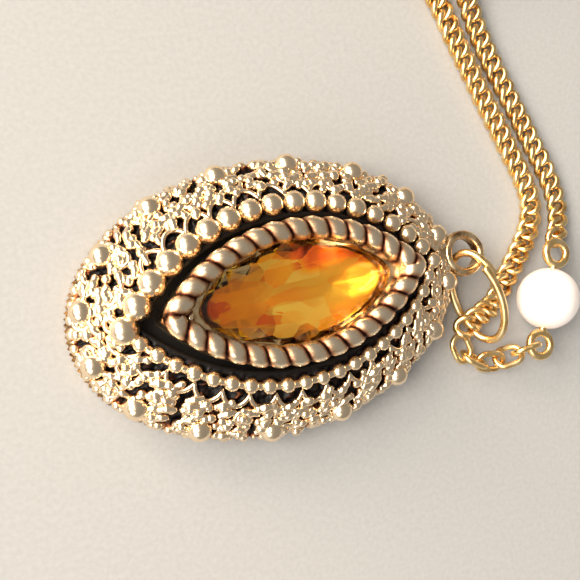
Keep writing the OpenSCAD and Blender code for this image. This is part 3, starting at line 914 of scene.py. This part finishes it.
def eyeLoop(length, width, count, soften):
    radius = arcRadius(length, width)
    half = math.asin(length / 2 / radius)
    loop = []
    for side in (1, -1):
        for i in range(count):
            u = half * (1 - 2 * i / count) * side
            loop.append((radius * math.sin(u) + body["eyeShift"],
                         side * (radius * math.cos(u) + width / 2 - radius)))
    loop = np.array(loop)
    for _ in range(soften):
        loop = (np.roll(loop, 1, 0) + loop + np.roll(loop, -1, 0)) / 3
    return loop


def addCrest(piece, values):
    # how high each point stands on its ridge, for the finish to read
    layer = piece.data.attributes.new("crest", "FLOAT", "POINT")
    layer.data.foreach_set("value", np.asarray(values, float))


def ridgedRod(start, end, thickness, pitch, sides=16):
    # short straight piece of the same ridged wire, rounded off at its ends
    start, end = np.asarray(start, float), np.asarray(end, float)
    span = np.linalg.norm(end - start)
    steps = max(12, int(span / pitch * 10))
    points, crests = [], []
    ahead = (end - start) / span
    side = unitRows(np.cross(ahead, (0, 0, 1))[None])[0]
    other = np.cross(side, ahead)
    for j in range(steps + 1):
        s = j / steps
        cap = math.sqrt(max(0.02, 1 - (2 * s - 1) ** 8))
        for i in range(sides):
            angle = 2 * math.pi * i / sides
            crest = abs(math.cos(math.pi * (s * span / pitch + 2 * i / sides))) ** 0.7
            reach = thickness / 2 * cap * (0.7 + 0.3 * crest)
            aside = math.cos(angle) * side + math.sin(angle) * other
            points.append(start + ahead * span * s + reach * aside)
            crests.append(crest)
    faces = []
    for j in range(steps):
        for i in range(sides):
            m = (i + 1) % sides
            faces.append([j * sides + i, j * sides + m, (j + 1) * sides + m, (j + 1) * sides + i])
    faces.append(list(range(sides - 1, -1, -1)))
    faces.append([steps * sides + i for i in range(sides)])
    return points, faces, crests


def makeBezelRope():
    loop = eyeLoop(rope["length"], rope["width"], 320, rope["cornerSoftening"])
    flat = np.concatenate([loop, np.full((len(loop), 1), rope["height"])], axis=1)
    step = np.roll(flat, -1, 0) - flat
    along = np.concatenate([[0], np.cumsum(np.linalg.norm(step, axis=1))])
    ahead = unitRows(np.roll(flat, -1, 0) - np.roll(flat, 1, 0))
    across = unitRows(np.cross(ahead, (0, 0, 1)))
    n, sides = len(flat), 24
    points, faces, crests = [], [], []
    for j in range(n):
        for i in range(sides):
            angle = 2 * math.pi * i / sides
            phase = rope["ridges"] * along[j] / along[-1] + rope["slant"] * i / sides
            crest = abs(math.cos(math.pi * phase)) ** 0.65
            reach = rope["thickness"] / 2 * (1 - rope["groove"] + rope["groove"] * crest)
            aside = math.cos(angle) * across[j] + math.sin(angle) * np.array((0, 0, 1))
            points.append(flat[j] + reach * aside)
            crests.append(crest)
            k, m = (j + 1) % n, (i + 1) % sides
            faces.append([j * sides + i, k * sides + i, k * sides + m, j * sides + m])
    parts = [(points, faces)]
    for place, span in rope["tipBars"]:
        x, z = place + body["eyeShift"], rope["tipBarHeight"]
        rod = ridgedRod((x, -span / 2, z), (x, span / 2, z), rope["tipBarWire"], rope["tipBarPitch"])
        parts.append(rod[:2])
        crests += rod[2]
    points, faces = joined(parts)
    piece = meshPiece("ridgedBezelWire", points, faces, ridgeGold)
    addCrest(piece, crests)
    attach(piece, "pendant")
    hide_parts("bezel_rope")


makeBezelRope()


cut = {
    "length": 20.0,
    "width": 10.0,
    "tipPower": 1.22,
    "girdleHeight": 7.9,
    "rings": (  # size share, height over the girdle, points, turn in steps
        (0.50, 1.72, 8, 0.5),
        (0.76, 1.25, 8, 0.0),
        (1.00, 0.30, 16, 0.0),
        (1.00, 0.08, 16, 0.0),
        (0.70, -0.75, 8, 0.5),
        (0.36, -1.45, 8, 0.0),
    ),
}


def makeStone():
    shape = bmesh.new()
    for share, height, count, turn in cut["rings"]:
        for i in range(count):
            angle = 2 * math.pi * (i + turn) / count
            c, s = math.cos(angle), math.sin(angle)
            x = math.copysign(abs(c) ** cut["tipPower"], c) * cut["length"] / 2 * share
            y = math.copysign(abs(s) ** cut["tipPower"], s) * cut["width"] / 2 * share
            shape.verts.new(((x + body["eyeShift"]) * mm, y * mm, (cut["girdleHeight"] + height) * mm))
    bmesh.ops.convex_hull(shape, input=shape.verts)
    data = bpy.data.meshes.new("cutStone")
    shape.to_mesh(data)
    shape.free()
    data.materials.append(amber)
    piece = bpy.data.objects.new("cutStone", data)
    bpy.context.scene.collection.objects.link(piece)
    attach(piece, "pendant")
    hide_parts("stone")


makeStone()
print("stone set")


jumpRing = {
    "length": 10.4,
    "width": 5.6,
    "wire": 0.85,
    "turn": -78,
    "dip": 6,
    "lean": 60,
    "middle": (22.1, 0, 3.8),
    "splitAt": 112,
    "splitLap": 16,
    "splitSide": 0.5,
}


def makeJumpRing():
    steps = 120
    path = []
    place = (Matrix.Translation(jumpRing["middle"]) @ Matrix.Rotation(math.radians(jumpRing["turn"]), 4, "Z")
             @ Matrix.Rotation(math.radians(jumpRing["dip"]), 4, "Y")
             @ Matrix.Rotation(math.radians(jumpRing["lean"]), 4, "X")
             @ Matrix.Translation((jumpRing["length"] / 2, 0, 0)))
    for i in range(steps + 1):
        s = i / steps
        angle = math.radians(jumpRing["splitAt"] + (360 + jumpRing["splitLap"]) * s)
        spot = Vector((jumpRing["length"] / 2 * math.cos(angle), jumpRing["width"] / 2 * math.sin(angle),
                       jumpRing["splitSide"] * (2 * s - 1) ** 3))
        path.append(tuple(place @ spot))
    points, faces = tube(path, jumpRing["wire"] / 2, 16)
    piece = meshPiece("ovalJumpRing", points, faces, chainGold)
    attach(piece, "jump_ring")
    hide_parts("jump_ring")


makeJumpRing()


nodeFinish = {
    castGold: ["rim_beads"],
    beadGold: ["granules_outer", "granules_inner"],
    settingGold: ["bezel_cup", "bail_ring"],
    rimGold: ["back_plate", "rim_wire"],
    lacquer: ["base_dome"],
    foilPaintedLight: ["foil_cup"],
    chainGold: ["link_1", "link_2", "link_3", "link_4", "link_5", "pearl_pin", "clasp_body", "clasp_lever",
                "clasp_rivet", "clasp_ring", "end_ring"],
    pearlCoat: ["pearl"],
    steel: ["clasp_spring"],
}

for finish, names in nodeFinish.items():
    for name in names:
        nodes[name].data.materials.clear()
        nodes[name].data.materials.append(finish)
print("finishes given")
